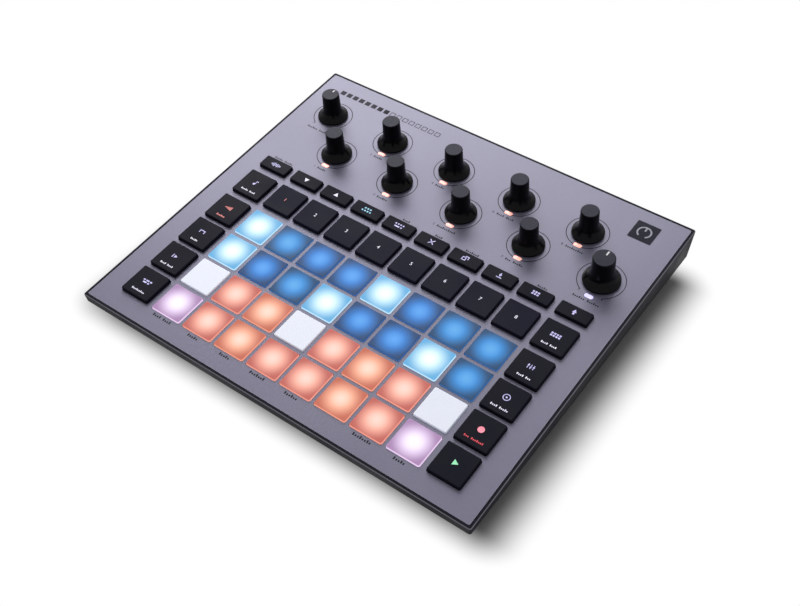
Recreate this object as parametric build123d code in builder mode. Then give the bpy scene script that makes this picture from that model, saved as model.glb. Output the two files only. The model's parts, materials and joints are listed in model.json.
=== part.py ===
from build123d import *
import os
from math import cos, radians, sin, tan

# Groovebox: a wedge-shaped tabletop instrument with 32 lit pads, 28 keys and 10 knobs.
# X runs to the right, Y to the rear, Z up. The origin is on the table under the middle of the case.
# Lengths are in millimetres and angles in degrees.

# Control surface: the case takes its width and depth from these rows and columns.
column_count = 8
pad_row_count = 4
column_pitch = 21.45
row_pitch = 21.45
side_column_gap = 22.4
side_margin = 24.225
front_margin = 22.9
track_row_gap = 22.9
function_row_gap = 18.6
lower_knob_gap = 27.4
upper_knob_gap = 25.0
rear_margin = 32.55

# Case
front_height = 16.3
tilt = 3.8
side_draft = 4.5
corner_radius = 1.2
rim_width = 1.5
rim_round = 0.6
case_wall = 2.6
floor_thickness = 2.5
skirt_height = 11.0
base_inset = 2.5
base_draft = 32.0

# Top panel
panel_thickness = 2.0
panel_gap = 0.3
tongue_width = 12.0
tongue_reach = 0.6
tongue_thickness = 0.9
tongue_gap = 0.15

# Pads and keys
pad_size = 19.0
pad_rise = 0.8
pad_travel = 0.6
key_size = 18.3
key_rise = 2.0
function_key_depth = 8.3
key_corner = 0.8
key_edge = 0.45
key_gap = 0.3
key_travel = 1.2
flange_overlap = 0.5
flange_thickness = 1.0
flange_clearance = 0.1
plunger_inset = 1.8
plunger_wall = 1.2
light_well_roof = 2.4

# Boards, key mat and lights
board_depth = 7.6
board_thickness = 1.6
board_edge = 1.5
mat_thickness = 0.4
mat_collar_wall = 0.8
mat_collar_height = 0.9
mat_clearance = 0.4
led_width = 3.0
led_depth = 1.6
led_height = 0.6
chip_size = 16.0
chip_height = 1.4
post_radius = 3.0

# Knobs and their rotary bodies
knob_lift = 0.5
knob_lip = 0.8
knob_bell = 5.8
knob_edge = 0.5
knob_recess_radius = 4.6
knob_recess_depth = 1.8
knob_skirt_diameter = 17.8
knob_stem_diameter = 10.6
knob_top_diameter = 9.9
knob_height = 16.7
filter_skirt_diameter = 20.1
filter_stem_diameter = 12.5
filter_top_diameter = 11.9
filter_height = 17.0
index_width = 0.9
index_depth = 0.4
index_start = 2.1
shaft_diameter = 6.0
shaft_running_gap = 0.05
shaft_flat = 1.0
shaft_cover = 3.2
shaft_end_gap = 0.4
rotary_size = 12.0
rotary_headroom = 0.3
rotary_base = 0.8
bush_diameter = 7.4
bush_rise = 1.2
bush_gap = 0.3

# Indicator windows
window_length = 5.0
window_width = 2.5
window_gap = 0.1
window_rise = 0.1
window_flange = 0.5
window_flange_thickness = 0.8
window_offset = 10.75
filter_window_offset = 12.9

# Feet, screws and battery
foot_height = 3.0
foot_radius = 6.0
foot_recess = 0.5
foot_gap = 0.2
foot_side_inset = 28.0
foot_front_inset = 25.0
foot_rear_inset = 23.0
screw_diameter = 3.0
screw_head_diameter = 5.6
screw_head_height = 2.0
screw_grip = 4.6
screw_gap = 0.15
screw_recess = 3.2
boss_radius = 3.0
boss_length = 4.0
tower_radius = 3.4
tower_gap = 0.6
rear_screw_side_inset = 14.0
rear_screw_rear_inset = 15.0
middle_screw_offset = 5.5
middle_screw_gap = 10.0
battery_width = 90.0
battery_length = 50.0
battery_thickness = 5.6
battery_edge = 1.4
battery_gap = 5.0

# Rear wall and its sockets; places run from the left end to the right end of the wall
socket_wall = 1.4
socket_gap = 0.1
socket_bay_width = 200.0
socket_bay_height = 19.5
plate_thickness = 1.0
plate_gap = 0.1
plate_lip = 1.2
nose_rise = 0.8
connector_board_width = 198.0
connector_board_depth = 32.0
connector_board_lift = 0.5
midi_width = 18.0
midi_height = 16.5
midi_depth = 12.5
midi_hole_radius = 7.5
midi_shell_radius = 7.1
midi_core_radius = 5.7
midi_plug_depth = 9.0
midi_pin_circle = 3.75
midi_pin_radius = 0.75
midi_places = [1.0, 21.0, 41.0]
jack_width = 13.0
jack_height = 9.6
jack_depth = 27.0
jack_bore = 6.5
jack_bore_depth = 25.5
jack_nose_wall = 1.25
jack_places = [-76.0, -60.0, -44.0, -28.0]
mini_width = 7.0
mini_height = 6.0
mini_depth = 15.0
mini_bore = 3.6
mini_bore_depth = 14.0
mini_nose_wall = 1.0
mini_places = [-90.0, -14.5]
usb_place = 77.0
usb_width = 9.0
usb_height = 3.3
usb_depth = 7.6
usb_shell = 0.35
usb_tongue_width = 6.6
usb_tongue_height = 0.7
usb_tongue_back = 1.2
usb_hole_margin = 0.3
card_place = 61.0
card_body_width = 14.0
card_body_height = 1.9
card_body_depth = 15.0
card_slot_width = 11.2
card_slot_height = 0.9
card_slot_depth = 13.0
card_hole_margin = 0.5
power_place = 92.0
power_radius = 3.3
power_gap = 0.3
power_travel = 2.0
power_flange_radius = 4.3
power_flange_thickness = 1.0
power_rod_radius = 1.5
power_rod_length = 6.0
power_switch_width = 8.0
power_switch_depth = 10.0
power_recess = 0.3
lock_place = 105.0
lock_height = 15.0
lock_slot_width = 7.0
lock_slot_height = 3.0

# Places that follow from the driving sizes
case_width = (column_count - 1) * column_pitch + 2 * (side_column_gap + side_margin)
row_stack = track_row_gap + function_row_gap + lower_knob_gap + upper_knob_gap
case_depth = front_margin + (pad_row_count - 1) * row_pitch + row_stack + rear_margin
slope = radians(tilt)
panel_height = front_height + case_depth / 2 * sin(slope)
panel_plane = Plane(origin=(0, 0, panel_height), x_dir=(1, 0, 0), z_dir=(0, -sin(slope), cos(slope)))
panel_axis = Axis(panel_plane.origin, panel_plane.z_dir)
rear_face = case_depth / 2 * cos(slope)
rear_height = front_height + case_depth * sin(slope)
floor_top = foot_height + floor_thickness

front_row_y = front_margin - case_depth / 2
pad_rows_y = [front_row_y + (pad_row_count - 1 - row) * row_pitch for row in range(pad_row_count)]
track_y = pad_rows_y[0] + track_row_gap
function_y = track_y + function_row_gap
lower_knob_y = function_y + lower_knob_gap
upper_knob_y = lower_knob_y + upper_knob_gap
columns_x = [(column - (column_count - 1) / 2) * column_pitch for column in range(column_count)]
side_x = columns_x[-1] + side_column_gap

connector_board_top = floor_top + connector_board_lift + board_thickness
bay_z = floor_top + socket_bay_height / 2
plate_face = rear_face - socket_wall - plate_gap
socket_face = plate_face - plate_thickness - socket_gap
nose_face = plate_face + nose_rise
jack_nose_radius = jack_bore / 2 + jack_nose_wall
mini_nose_radius = mini_bore / 2 + mini_nose_wall
midi_z = connector_board_top + midi_height / 2
jack_z = connector_board_top + jack_height / 2
mini_z = connector_board_top + mini_height / 2
usb_z = connector_board_top + usb_height / 2
card_z = connector_board_top + card_body_height / 2
power_z = connector_board_top + power_flange_radius + power_gap
socket_plane = Plane.XZ.offset(-socket_face)
plate_plane = Plane.XZ.offset(-plate_face)
nose_plane = Plane.XZ.offset(-nose_face)
wall_plane = Plane.XZ.offset(-rear_face)

# Keys by name: place on the panel
side_rows_y = [track_y] + pad_rows_y
function_names = ["sample_key", "down_key", "up_key", "page_key", "tempo_key"]
function_names += ["clear_key", "duplicate_key", "save_key", "projects_key", "shift_key"]
left_names = ["note_key", "velocity_key", "gate_key", "nudge_key", "chance_key"]
right_names = ["pattern_key", "mixer_key", "effects_key", "record_key", "play_key"]
function_places = dict(zip(function_names, [(x, function_y) for x in [-side_x] + columns_x + [side_x]]))
large_places = {f"track_key_{number}": (x, track_y) for number, x in enumerate(columns_x, 1)}
large_places.update(zip(left_names, [(-side_x, y) for y in side_rows_y]))
large_places.update(zip(right_names, [(side_x, y) for y in side_rows_y]))
pad_places = {f"pad_column_{number}": [(x, y) for y in pad_rows_y] for number, x in enumerate(columns_x, 1)}
all_pads = [place for places in pad_places.values() for place in places]

# Knobs by name: odd macro knobs stand in the lower row, even ones in the upper row
macro_places = {
    f"macro_knob_{number}": (x, lower_knob_y if number % 2 else upper_knob_y)
    for number, x in enumerate(columns_x, 1)
}
volume_place = (-side_x, upper_knob_y)
filter_place = (side_x, lower_knob_y)
knob_places = [*macro_places.values(), volume_place, filter_place]
window_places = [(x, y - window_offset) for x, y in macro_places.values()]
window_places.append((filter_place[0], filter_place[1] - filter_window_offset))

# Screws come up from below into bosses of the panel, square to it
rear_screw_x = case_width / 2 - rear_screw_side_inset
rear_screw_y = case_depth / 2 - rear_screw_rear_inset
middle_screw_x = side_x + middle_screw_offset
middle_screw_y = function_y + middle_screw_gap
middle_screws = [(-middle_screw_x, middle_screw_y), (0, middle_screw_y), (middle_screw_x, middle_screw_y)]
screw_places = [(-rear_screw_x, rear_screw_y), (rear_screw_x, rear_screw_y)] + middle_screws
boss_end = panel_thickness + boss_length

post_x = columns_x[-1] + side_column_gap / 2
post_rows_y = [
    (pad_rows_y[0] + pad_rows_y[1]) / 2,
    (pad_rows_y[-2] + pad_rows_y[-1]) / 2,
    lower_knob_y + upper_knob_gap / 2,
]
post_places = [(x, y) for x in (-post_x, post_x) for y in post_rows_y]
panel_width = case_width - 2 * (rim_width + panel_gap)
panel_length = case_depth - 2 * (rim_width + panel_gap)
tongue_places = [(x, -panel_length / 2) for x in (columns_x[0], 0, columns_x[-1])]

os.makedirs("parts", exist_ok=True)


def depth_below_panel(y, height):
    """How far below the panel's top, square to it, the given height lies at the panel's row y."""
    return (panel_height + y * sin(slope) - height) / cos(slope)


def save(part, name):
    """Label a finished piece and write it."""
    part.label = name
    export_step(part, f"parts/{name}.step")


def outline(width, front, rear):
    """Rounded rectangle of the case between its front and rear edges."""
    with Locations((0, (front + rear) / 2)):
        RectangleRounded(width, rear - front, corner_radius)


def shell_form(inset, skirt, bottom):
    """The wedge with its drawn-in base, made smaller by inset on every side; its rear wall is plumb."""
    top_width = case_width - 2 * inset
    top_edge = case_depth / 2 - inset
    drawn_in = rear_height * tan(radians(side_draft))
    base_front = base_inset + inset - rear_face
    base_width = case_width - 2 * (base_inset + inset)
    base_drawn_in = (skirt - bottom) * tan(radians(base_draft))
    with BuildPart() as form:
        with BuildSketch(panel_plane):
            outline(top_width, -top_edge, top_edge)
        with BuildSketch(panel_plane.offset(-rear_height)):
            outline(top_width - 2 * drawn_in, drawn_in - top_edge, top_edge - rear_height * tan(slope))
        loft(ruled=True)
        split(bisect_by=Plane.XY.offset(skirt), keep=Keep.TOP)
        with BuildSketch(Plane.XY.offset(skirt)):
            outline(base_width, base_front, rear_face - inset)
        with BuildSketch(Plane.XY.offset(bottom)):
            outline(base_width - 2 * base_drawn_in, base_front + base_drawn_in, rear_face - inset)
        loft(ruled=True)
    return form.part


outer_form = shell_form(0, skirt_height, foot_height)
inner_form = shell_form(case_wall, skirt_height + case_wall, floor_top)

# Lower case: a tray with a rim round the panel, board posts, screw towers and an opening in the rear wall
foot_places = [
    (x, y)
    for x in (foot_side_inset - case_width / 2, case_width / 2 - foot_side_inset)
    for y in (foot_front_inset - rear_face, rear_face - foot_rear_inset)
]
with BuildPart() as lower_case:
    add(outer_form)
    fillet(lower_case.faces().sort_by(panel_axis)[-1].edges(), rim_round)
    add(inner_form, mode=Mode.SUBTRACT)
    with BuildSketch(panel_plane):
        RectangleRounded(case_width - 2 * rim_width, case_depth - 2 * rim_width, corner_radius)
    extrude(amount=-panel_thickness, mode=Mode.SUBTRACT)
    with BuildSketch(panel_plane.offset(-panel_thickness)):
        with Locations(*tongue_places):
            Rectangle(tongue_width + 2 * tongue_gap, 2 * (tongue_reach + tongue_gap))
    extrude(amount=tongue_thickness + tongue_gap, mode=Mode.SUBTRACT)
    for x, y in post_places:
        top = board_depth + board_thickness
        with BuildSketch(panel_plane.offset(-top)):
            with Locations((x, y)):
                Circle(post_radius)
        extrude(amount=top - depth_below_panel(y, floor_top - floor_thickness / 2))
    for x, y in screw_places:
        seat = depth_below_panel(y, foot_height + screw_recess)
        with BuildSketch(panel_plane.offset(-boss_end)):
            with Locations((x, y)):
                Circle(tower_radius)
        extrude(amount=boss_end - depth_below_panel(y, floor_top - floor_thickness / 2))
        with BuildSketch(panel_plane.offset(-boss_end)):
            with Locations((x, y)):
                Circle(screw_diameter / 2 + screw_gap)
        extrude(amount=boss_end - seat, mode=Mode.SUBTRACT)
        with BuildSketch(panel_plane.offset(-seat)):
            with Locations((x, y)):
                Circle(screw_head_diameter / 2 + screw_gap)
        extrude(amount=-2 * screw_recess, mode=Mode.SUBTRACT)
    with BuildSketch(Plane.XY.offset(foot_height)):
        with Locations(*foot_places):
            Circle(foot_radius + foot_gap)
    extrude(amount=foot_recess, mode=Mode.SUBTRACT)
    with BuildSketch(Plane.XZ.offset(socket_wall - rear_face)):
        with Locations((0, bay_z)):
            Rectangle(socket_bay_width, socket_bay_height)
    extrude(amount=2 * case_wall, mode=Mode.SUBTRACT)
    with BuildSketch(Plane.XY.offset(floor_top)):
        with Locations((0, rear_face - case_wall - connector_board_depth / 2)):
            with GridLocations(connector_board_width - 2 * tower_radius, connector_board_depth / 2, 2, 2):
                Circle(post_radius)
    extrude(amount=connector_board_lift)
    with BuildSketch(wall_plane):
        with Locations((0, bay_z)):
            Rectangle(socket_bay_width - 2 * plate_lip, socket_bay_height - 2 * plate_lip)
        with Locations((lock_place, lock_height)):
            RectangleRounded(lock_slot_width, lock_slot_height, lock_slot_height / 4)
    extrude(amount=case_wall + socket_gap, mode=Mode.SUBTRACT)
save(lower_case.part, "lower_case")

# Rear plates: two thin plates end to end behind the opening of the rear wall. One has the holes of the jack
# sockets, the other those of the round sockets, the data sockets and the power button
plate_seam = (mini_places[-1] + mini_nose_radius + midi_places[0] - midi_hole_radius) / 2
midi_centres = [(x, midi_z) for x in midi_places]
jack_centres = [(x, jack_z) for x in jack_places]
mini_centres = [(x, mini_z) for x in mini_places]
with BuildPart() as rear_plate:
    with BuildSketch(plate_plane):
        with Locations((0, bay_z)):
            Rectangle(socket_bay_width - 2 * plate_gap, socket_bay_height - 2 * plate_gap)
        with Locations((plate_seam, bay_z)):
            Rectangle(plate_gap, socket_bay_height, mode=Mode.SUBTRACT)
        with Locations(*midi_centres):
            Circle(midi_hole_radius, mode=Mode.SUBTRACT)
        with Locations(*jack_centres):
            Circle(jack_nose_radius + socket_gap, mode=Mode.SUBTRACT)
        with Locations(*mini_centres):
            Circle(mini_nose_radius + socket_gap, mode=Mode.SUBTRACT)
        with Locations((usb_place, usb_z)):
            usb_hole_height = usb_height + 2 * usb_hole_margin
            SlotOverall(usb_width + 2 * usb_hole_margin, usb_hole_height, mode=Mode.SUBTRACT)
        with Locations((card_place, card_z)):
            Rectangle(card_slot_width, card_slot_height + 2 * card_hole_margin, mode=Mode.SUBTRACT)
        with Locations((power_place, power_z)):
            Circle(power_radius + power_gap, mode=Mode.SUBTRACT)
    extrude(amount=plate_thickness)
save(rear_plate.part, "rear_plate")

# Top panel: a plate with an opening for every pad, key, bush and window, screw bosses below it,
# and three tongues on its front edge that hook into the rim
with BuildPart() as top_panel:
    with BuildSketch(panel_plane):
        RectangleRounded(panel_width, panel_length, corner_radius - panel_gap)
    extrude(amount=-panel_thickness)
    with BuildSketch(panel_plane):
        with Locations(*all_pads):
            RectangleRounded(pad_size + 2 * key_gap, pad_size + 2 * key_gap, key_corner + key_gap)
        with Locations(*large_places.values()):
            RectangleRounded(key_size + 2 * key_gap, key_size + 2 * key_gap, key_corner + key_gap)
        with Locations(*function_places.values()):
            RectangleRounded(key_size + 2 * key_gap, function_key_depth + 2 * key_gap, key_corner + key_gap)
        with Locations(*knob_places):
            Circle(bush_diameter / 2 + bush_gap)
        with Locations(*window_places):
            SlotOverall(window_length + 2 * window_gap, window_width + 2 * window_gap)
    extrude(amount=-panel_thickness, mode=Mode.SUBTRACT)
    with BuildSketch(panel_plane.offset(-panel_thickness)):
        with Locations(*screw_places):
            Circle(boss_radius)
    extrude(amount=-boss_length)
    with BuildSketch(panel_plane.offset(-boss_end)):
        with Locations(*screw_places):
            Circle(screw_diameter / 2 + screw_gap)
    extrude(amount=screw_grip + screw_gap, mode=Mode.SUBTRACT)
    with BuildSketch(panel_plane.offset(-panel_thickness)):
        with Locations(*tongue_places):
            Rectangle(tongue_width, 2 * tongue_reach)
    extrude(amount=tongue_thickness)
save(top_panel.part, "top_panel")

# Circuit boards: the main board lies square to the panel, the connector board lies flat behind it
board_half_width = side_x + key_size / 2 + board_edge
board_front = front_row_y - pad_size / 2 - board_edge
board_rear = upper_knob_y + rotary_size / 2 + board_edge
light_places = all_pads + [*large_places.values()] + [*function_places.values()] + window_places
with BuildPart() as circuit_boards:
    with BuildSketch(panel_plane.offset(-board_depth)):
        with Locations((0, (board_front + board_rear) / 2)):
            RectangleRounded(2 * board_half_width, board_rear - board_front, corner_radius)
    extrude(amount=-board_thickness)
    with BuildSketch(panel_plane.offset(-board_depth)):
        with Locations(*light_places):
            Rectangle(led_width, led_depth)
    extrude(amount=led_height)
    with BuildSketch(panel_plane.offset(-board_depth - board_thickness)):
        with Locations((0, lower_knob_y)):
            with GridLocations(3 * column_pitch, 0, 3, 1):
                RectangleRounded(chip_size, chip_size, key_corner)
    extrude(amount=-chip_height)
    with BuildSketch(Plane.XY.offset(connector_board_top)):
        with Locations((0, rear_face - case_wall - connector_board_depth / 2)):
            Rectangle(connector_board_width, connector_board_depth)
    extrude(amount=-board_thickness)
    with BuildSketch(Plane.XZ.offset(power_flange_thickness + power_travel + power_gap - socket_face)):
        with Locations((power_place, power_z)):
            Rectangle(power_switch_width, 2 * (power_flange_radius + power_gap))
            Circle(power_rod_radius + power_gap, mode=Mode.SUBTRACT)
    extrude(amount=power_switch_depth)
    with BuildSketch(panel_plane.offset(-boss_end)):
        with Locations(*screw_places):
            Circle(tower_radius + tower_gap)
    extrude(amount=-rear_height, mode=Mode.SUBTRACT)
save(circuit_boards.part, "circuit_boards")


def key_collars(width, depth, places):
    """Rings of the mat that stand round the plungers of the keys at these places."""
    inner_width = width - 2 * plunger_inset + 2 * mat_clearance
    inner_depth = depth - 2 * plunger_inset + 2 * mat_clearance
    with Locations(*places):
        Rectangle(inner_width + 2 * mat_collar_wall, inner_depth + 2 * mat_collar_wall)
        Rectangle(inner_width, inner_depth, mode=Mode.SUBTRACT)


# Key mat: a thin silicone sheet on the main board, a ring round every plunger and a hole for every light
mat_rear = function_y + function_key_depth / 2 + board_edge
with BuildPart() as key_mat:
    with BuildSketch(panel_plane.offset(-board_depth)):
        with Locations((0, (board_front + mat_rear) / 2)):
            RectangleRounded(2 * board_half_width, mat_rear - board_front, corner_radius)
        with Locations(*light_places[:-len(window_places)]):
            Rectangle(led_width + 2 * mat_clearance, led_depth + 2 * mat_clearance, mode=Mode.SUBTRACT)
    extrude(amount=mat_thickness)
    with BuildSketch(panel_plane.offset(mat_thickness - board_depth)):
        key_collars(pad_size, pad_size, all_pads)
        key_collars(key_size, key_size, large_places.values())
        key_collars(key_size, function_key_depth, function_places.values())
    extrude(amount=mat_collar_height)
save(key_mat.part, "key_mat")


def key_group(width, depth, rise, travel, places):
    """Keys that stand through the panel: cap, flange under the panel, hollow plunger over the board."""
    flange_top = panel_thickness + flange_clearance
    flange_edge = 2 * (key_gap + flange_overlap)
    flange_bottom = flange_top + flange_thickness
    plunger_end = board_depth - mat_thickness - travel - flange_clearance
    plunger_width = width - 2 * plunger_inset
    plunger_depth = depth - 2 * plunger_inset
    with BuildPart() as keys:
        with BuildSketch(panel_plane.offset(-flange_bottom)):
            with Locations(*places):
                RectangleRounded(width + flange_edge, depth + flange_edge, key_corner)
        extrude(amount=flange_thickness)
        with BuildSketch(panel_plane.offset(-flange_top)):
            with Locations(*places):
                RectangleRounded(width, depth, key_corner)
        extrude(amount=flange_top + rise)
        fillet(keys.faces().group_by(panel_axis)[-1].edges(), key_edge)
        with BuildSketch(panel_plane.offset(-plunger_end)):
            with Locations(*places):
                Rectangle(plunger_width, plunger_depth)
        extrude(amount=plunger_end - flange_bottom)
        with BuildSketch(panel_plane.offset(-plunger_end)):
            with Locations(*places):
                Rectangle(plunger_width - 2 * plunger_wall, plunger_depth - 2 * plunger_wall)
        extrude(amount=plunger_end - light_well_roof, mode=Mode.SUBTRACT)
    return keys.part


# Pads: four to a column, so that the 32 pads make eight moving pieces
for pad_name, places in pad_places.items():
    save(key_group(pad_size, pad_size, pad_rise, pad_travel, places), pad_name)

# Black keys, each a moving piece of its own
for key_name, place in large_places.items():
    save(key_group(key_size, key_size, key_rise, key_travel, [place]), key_name)
for key_name, place in function_places.items():
    save(key_group(key_size, function_key_depth, key_rise, key_travel, [place]), key_name)

# Rotary bodies: an encoder or potentiometer under every knob, with a bush that stands through the panel
rotary_top = panel_thickness + rotary_headroom
with BuildPart() as rotary_bodies:
    with BuildSketch(panel_plane.offset(-board_depth)):
        with Locations(*knob_places):
            Rectangle(rotary_size, rotary_size)
    extrude(amount=board_depth - rotary_top)
    with BuildSketch(panel_plane.offset(-rotary_top)):
        with Locations(*knob_places):
            Circle(bush_diameter / 2)
    extrude(amount=rotary_top + bush_rise)
    with BuildSketch(panel_plane.offset(rotary_base - board_depth)):
        with Locations(*knob_places):
            Circle(shaft_diameter / 2 + shaft_running_gap)
    extrude(amount=board_depth - rotary_base + bush_rise, mode=Mode.SUBTRACT)
save(rotary_bodies.part, "rotary_bodies")


def knob(name, place, skirt, stem, top, height, marked):
    """A skirted knob pressed on a steel shaft with a flat; a marked one has an index groove to the rear."""
    x, y = place
    foot = panel_plane.offset(0).shift_origin(panel_plane.from_local_coords(Vector(x, y, 0)))
    profile_plane = Plane(origin=foot.origin, x_dir=foot.x_dir, z_dir=-foot.y_dir)
    shaft_bottom = rotary_base - board_depth + shaft_end_gap
    shaft_top = height - shaft_cover
    flat_start = knob_lift + knob_recess_depth
    with BuildPart() as shaft:
        with BuildSketch(foot.offset(shaft_bottom)):
            Circle(shaft_diameter / 2)
        extrude(amount=shaft_top - shaft_bottom)
        with BuildSketch(foot.offset(flat_start)):
            with Locations((0, shaft_diameter / 2)):
                Rectangle(shaft_diameter, 2 * shaft_flat)
        extrude(amount=shaft_top - flat_start, mode=Mode.SUBTRACT)
    bell_top = (stem / 2, knob_lift + knob_lip + knob_bell)
    lip_top = (skirt / 2, knob_lift + knob_lip)
    with BuildPart() as cap:
        with BuildSketch(profile_plane):
            with BuildLine():
                Line((0, knob_lift), (skirt / 2, knob_lift))
                Line((skirt / 2, knob_lift), lip_top)
                TangentArc(bell_top, lip_top, tangent=(0, -1))
                Line(bell_top, (top / 2, height))
                Line((top / 2, height), (0, height))
                Line((0, height), (0, knob_lift))
            make_face()
        revolve(axis=Axis(foot.origin, foot.z_dir))
        fillet(cap.faces().sort_by(panel_axis)[-1].edges(), knob_edge)
        with BuildSketch(foot.offset(knob_lift)):
            Circle(knob_recess_radius)
        extrude(amount=knob_recess_depth, mode=Mode.SUBTRACT)
        add(shaft.part, mode=Mode.SUBTRACT)
        if marked:
            with BuildSketch(foot.offset(height)):
                with Locations((0, (index_start + top) / 2)):
                    Rectangle(index_width, top - index_start)
            extrude(amount=-index_depth, mode=Mode.SUBTRACT)
    save(Compound(children=[cap.part, shaft.part]), name)


small_knob = (knob_skirt_diameter, knob_stem_diameter, knob_top_diameter, knob_height)
for knob_name, place in macro_places.items():
    knob(knob_name, place, *small_knob, marked=False)
knob("volume_knob", volume_place, *small_knob, marked=True)
filter_sizes = (filter_skirt_diameter, filter_stem_diameter, filter_top_diameter, filter_height)
knob("filter_knob", filter_place, *filter_sizes, marked=True)

# Light pipes: clear pills from just over the board's lights up to the panel's face, held by a flange
pipe_bottom = board_depth - led_height - window_gap
with BuildPart() as light_pipes:
    with BuildSketch(panel_plane.offset(-pipe_bottom)):
        with Locations(*window_places):
            SlotOverall(window_length, window_width)
    extrude(amount=pipe_bottom + window_rise)
    with BuildSketch(panel_plane.offset(-panel_thickness)):
        with Locations(*window_places):
            SlotOverall(window_length + 2 * window_flange, window_width + 2 * window_flange)
    extrude(amount=-window_flange_thickness)
save(light_pipes.part, "light_pipes")

# Five-pin round sockets: a round well in the housing takes the plug's shell, a core in it the plug's pins
with BuildPart() as midi_housings:
    with BuildSketch(socket_plane):
        with Locations(*midi_centres):
            Rectangle(midi_width, midi_height)
    extrude(amount=midi_depth)
    with BuildSketch(socket_plane):
        with Locations(*midi_centres):
            Circle(midi_shell_radius)
    extrude(amount=midi_plug_depth, mode=Mode.SUBTRACT)
with BuildPart() as midi_cores:
    with BuildSketch(socket_plane):
        with Locations(*midi_centres):
            Circle(midi_core_radius)
            with PolarLocations(midi_pin_circle, 5, start_angle=0, angular_range=180):
                Circle(midi_pin_radius, mode=Mode.SUBTRACT)
    extrude(amount=midi_plug_depth)
save(Compound(children=[midi_housings.part, midi_cores.part]), "midi_sockets")

# Jack sockets: four of the large size and two of the small size, each with a round nose in its hole
# of the rear plate; the bores start at the mouths of the noses
with BuildPart() as jack_sockets:
    with BuildSketch(socket_plane):
        with Locations(*jack_centres):
            Rectangle(jack_width, jack_height)
    extrude(amount=jack_depth)
    with BuildSketch(socket_plane):
        with Locations(*mini_centres):
            Rectangle(mini_width, mini_height)
    extrude(amount=mini_depth)
    with BuildSketch(nose_plane):
        with Locations(*jack_centres):
            Circle(jack_nose_radius)
        with Locations(*mini_centres):
            Circle(mini_nose_radius)
    extrude(amount=nose_face - socket_face)
    with BuildSketch(nose_plane):
        with Locations(*jack_centres):
            Circle(jack_bore / 2)
    extrude(amount=jack_bore_depth, mode=Mode.SUBTRACT)
    with BuildSketch(nose_plane):
        with Locations(*mini_centres):
            Circle(mini_bore / 2)
    extrude(amount=mini_bore_depth, mode=Mode.SUBTRACT)
save(jack_sockets.part, "jack_sockets")

# Data sockets: a flat steel USB-C shell with a tongue in its middle, and a flat body with a slot for a card
with BuildPart() as usb_socket:
    with BuildSketch(plate_plane):
        with Locations((usb_place, usb_z)):
            SlotOverall(usb_width, usb_height)
    extrude(amount=usb_depth)
    with BuildSketch(plate_plane):
        with Locations((usb_place, usb_z)):
            SlotOverall(usb_width - 2 * usb_shell, usb_height - 2 * usb_shell)
            Rectangle(usb_tongue_width, usb_tongue_height, mode=Mode.SUBTRACT)
    extrude(amount=usb_depth - usb_tongue_back, mode=Mode.SUBTRACT)
with BuildPart() as card_socket:
    with BuildSketch(socket_plane):
        with Locations((card_place, card_z)):
            Rectangle(card_body_width, card_body_height)
    extrude(amount=card_body_depth)
    with BuildSketch(socket_plane):
        with Locations((card_place, card_z)):
            Rectangle(card_slot_width, card_slot_height)
    extrude(amount=card_slot_depth, mode=Mode.SUBTRACT)
save(Compound(children=[usb_socket.part, card_socket.part]), "data_sockets")

# Power button: a round cap in the rear wall with a flange behind it and a rod into its switch
with BuildPart() as power_button:
    with BuildSketch(Plane.XZ.offset(power_recess - rear_face)):
        with Locations((power_place, power_z)):
            Circle(power_radius)
    extrude(amount=rear_face - power_recess - socket_face)
    fillet(power_button.faces().sort_by(Axis.Y)[-1].edges(), key_edge)
    with BuildSketch(socket_plane):
        with Locations((power_place, power_z)):
            Circle(power_flange_radius)
    extrude(amount=power_flange_thickness)
    with BuildSketch(Plane.XZ.offset(power_flange_thickness - socket_face)):
        with Locations((power_place, power_z)):
            Circle(power_rod_radius)
    extrude(amount=power_rod_length)
save(power_button.part, "power_button")

# Battery: a flat pouch on the floor, in front of the middle screw
battery_y = middle_screw_y - tower_radius - battery_gap - battery_length / 2
with BuildPart() as battery_pack:
    with BuildSketch(Plane.XY.offset(floor_top)):
        with Locations((0, battery_y)):
            Rectangle(battery_width, battery_length)
    extrude(amount=battery_thickness)
    fillet(battery_pack.edges().filter_by(Axis.Z), battery_edge)
    fillet(battery_pack.faces().sort_by(Axis.Z)[-1].edges(), battery_edge)
save(battery_pack.part, "battery_pack")

# Rubber feet in shallow recesses of the base
with BuildPart() as rubber_feet:
    with BuildSketch(Plane.XY):
        with Locations(*foot_places):
            Circle(foot_radius)
    extrude(amount=foot_height + foot_recess)
    fillet(rubber_feet.faces().group_by(Axis.Z)[0].edges(), key_edge)
save(rubber_feet.part, "rubber_feet")

# Case screws: the head sits in its recess in the base, the shank runs up into the panel's boss
with BuildPart() as case_screws:
    for x, y in screw_places:
        seat = depth_below_panel(y, foot_height + screw_recess)
        with BuildSketch(panel_plane.offset(-seat)):
            with Locations((x, y)):
                Circle(screw_head_diameter / 2)
        extrude(amount=-screw_head_height)
        with BuildSketch(panel_plane.offset(-seat)):
            with Locations((x, y)):
                Circle(screw_diameter / 2)
        extrude(amount=seat - boss_end + screw_grip)
save(case_screws.part, "case_screws")
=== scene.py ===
# %% [markdown]
# # Dressing a groovebox
# The imported model already holds every piece of this groovebox at its real size: the case, the panel, 28
# keys, 32 pads and 10 knobs. This lesson gives each surface its finish, and adds what is too thin to be a
# solid part: printed rings, lit legends and the white index lines. Single pads and lenses take the place
# of the imported ones, so that each can glow in its own colour. The model is loaded first, because every
# new piece takes its place from it. Its box is kept too, because the floor is laid out from it.

# %% Load the imported model
import json
from math import inf, pi, radians

import bmesh
import bpy
from mathutils import Matrix, Vector


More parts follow.
